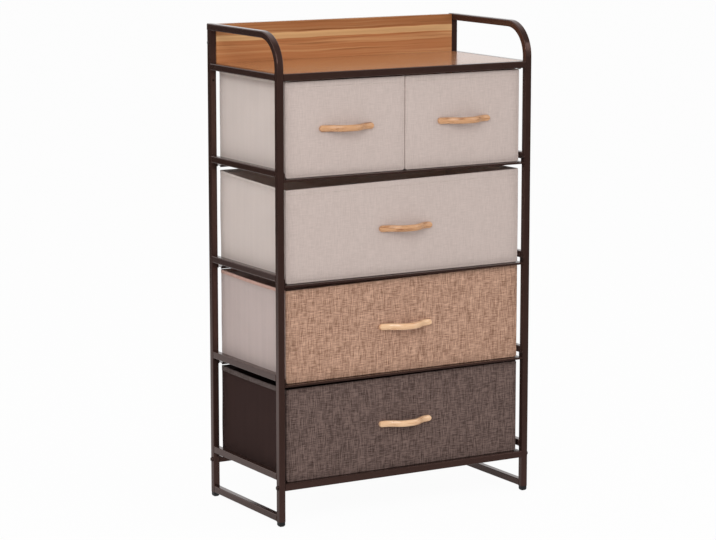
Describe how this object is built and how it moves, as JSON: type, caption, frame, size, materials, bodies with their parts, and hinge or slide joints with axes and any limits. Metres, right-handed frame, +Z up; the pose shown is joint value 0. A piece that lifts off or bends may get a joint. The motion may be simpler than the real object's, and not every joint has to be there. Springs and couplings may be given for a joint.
{
  "type": "fabric drawer dresser",
  "caption": "Narrow metal-framed dresser with arched side frames, a wooden top with a back panel, and fabric drawers with bowed wooden handles.",
  "frame": {"origin": "on the floor, under the centre of the overall box with the handles", "axes": "+Z up, -Y towards the drawers' fronts, X along the width"},
  "size_m": [0.6072, 0.3166, 0.995],
  "materials": {
    "frame_paint": "dark brown gloss enamel",
    "dark_screws": "blackened steel",
    "zinc_screws": "zinc plated",
    "black_plastic": "moulded, satin",
    "veneer": "satin lacquer over a warm brown grain",
    "lined_board": "fibreboard covered with thin lining cloth",
    "handle_wood": "clear satin lacquer on pale wood",
    "beige_linen": "fine beige linen weave",
    "tan_tweed": "tan and brown slub tweed",
    "brown_linen": "dark brown linen weave"
  },
  "bodies": {
    "frame": {"back_base_rail": "frame_paint", "back_lower_bar": "frame_paint", "back_middle_bar": "frame_paint", "back_panel": "veneer", "back_panel_screws": "dark_screws", "back_shelf_rail": "frame_paint", "back_upper_bar": "frame_paint", "base_rail_bolts": "dark_screws", "foot_caps": "black_plastic", "front_base_rail": "frame_paint", "front_lower_bar": "frame_paint", "front_middle_bar": "frame_paint", "front_shelf_rail": "frame_paint", "front_upper_bar": "frame_paint", "left_back_post": "frame_paint", "left_base_side_rail": "frame_paint", "left_foot_rail": "frame_paint", "left_front_post": "frame_paint", "left_lower_side_rail": "frame_paint", "left_middle_side_rail": "frame_paint", "left_shelf_side_rail": "frame_paint", "left_upper_side_rail": "frame_paint", "right_back_post": "frame_paint", "right_base_side_rail": "frame_paint", "right_foot_rail": "frame_paint", "right_front_post": "frame_paint", "right_lower_side_rail": "frame_paint", "right_middle_side_rail": "frame_paint", "right_shelf_side_rail": "frame_paint", "right_upper_side_rail": "frame_paint", "shelf_board": "veneer", "shelf_rail_spigots": "frame_paint", "shelf_screws": "zinc_screws", "support_bar_screws": "dark_screws", "tube_end_plugs": "black_plastic"},
    "small_left_drawer": {"small_left_drawer_base_board": "lined_board", "small_left_drawer_fabric_box": "beige_linen", "small_left_drawer_front_board": "lined_board", "small_left_drawer_handle": "handle_wood", "small_left_drawer_handle_screws": "zinc_screws"},
    "small_right_drawer": {"small_right_drawer_base_board": "lined_board", "small_right_drawer_fabric_box": "beige_linen", "small_right_drawer_front_board": "lined_board", "small_right_drawer_handle": "handle_wood", "small_right_drawer_handle_screws": "zinc_screws"},
    "upper_drawer": {"upper_drawer_base_board": "lined_board", "upper_drawer_fabric_box": "beige_linen", "upper_drawer_front_board": "lined_board", "upper_drawer_handle": "handle_wood", "upper_drawer_handle_screws": "zinc_screws"},
    "middle_drawer": {"middle_drawer_base_board": "lined_board", "middle_drawer_fabric_box": "tan_tweed", "middle_drawer_front_board": "lined_board", "middle_drawer_handle": "handle_wood", "middle_drawer_handle_screws": "zinc_screws"},
    "lower_drawer": {"lower_drawer_base_board": "lined_board", "lower_drawer_fabric_box": "brown_linen", "lower_drawer_front_board": "lined_board", "lower_drawer_handle": "handle_wood", "lower_drawer_handle_screws": "zinc_screws"}
  },
  "joints": [
    {"name": "small_left_drawer_slide", "type": "slide", "parent": "frame", "child": "small_left_drawer", "axis": [0, -1, 0], "range_m": [0, 0.2]},
    {"name": "small_right_drawer_slide", "type": "slide", "parent": "frame", "child": "small_right_drawer", "axis": [0, -1, 0], "range_m": [0, 0.2]},
    {"name": "upper_drawer_slide", "type": "slide", "parent": "frame", "child": "upper_drawer", "axis": [0, -1, 0], "range_m": [0, 0.2]},
    {"name": "middle_drawer_slide", "type": "slide", "parent": "frame", "child": "middle_drawer", "axis": [0, -1, 0], "range_m": [0, 0.2]},
    {"name": "lower_drawer_slide", "type": "slide", "parent": "frame", "child": "lower_drawer", "axis": [0, -1, 0], "range_m": [0, 0.2]}
  ]
}
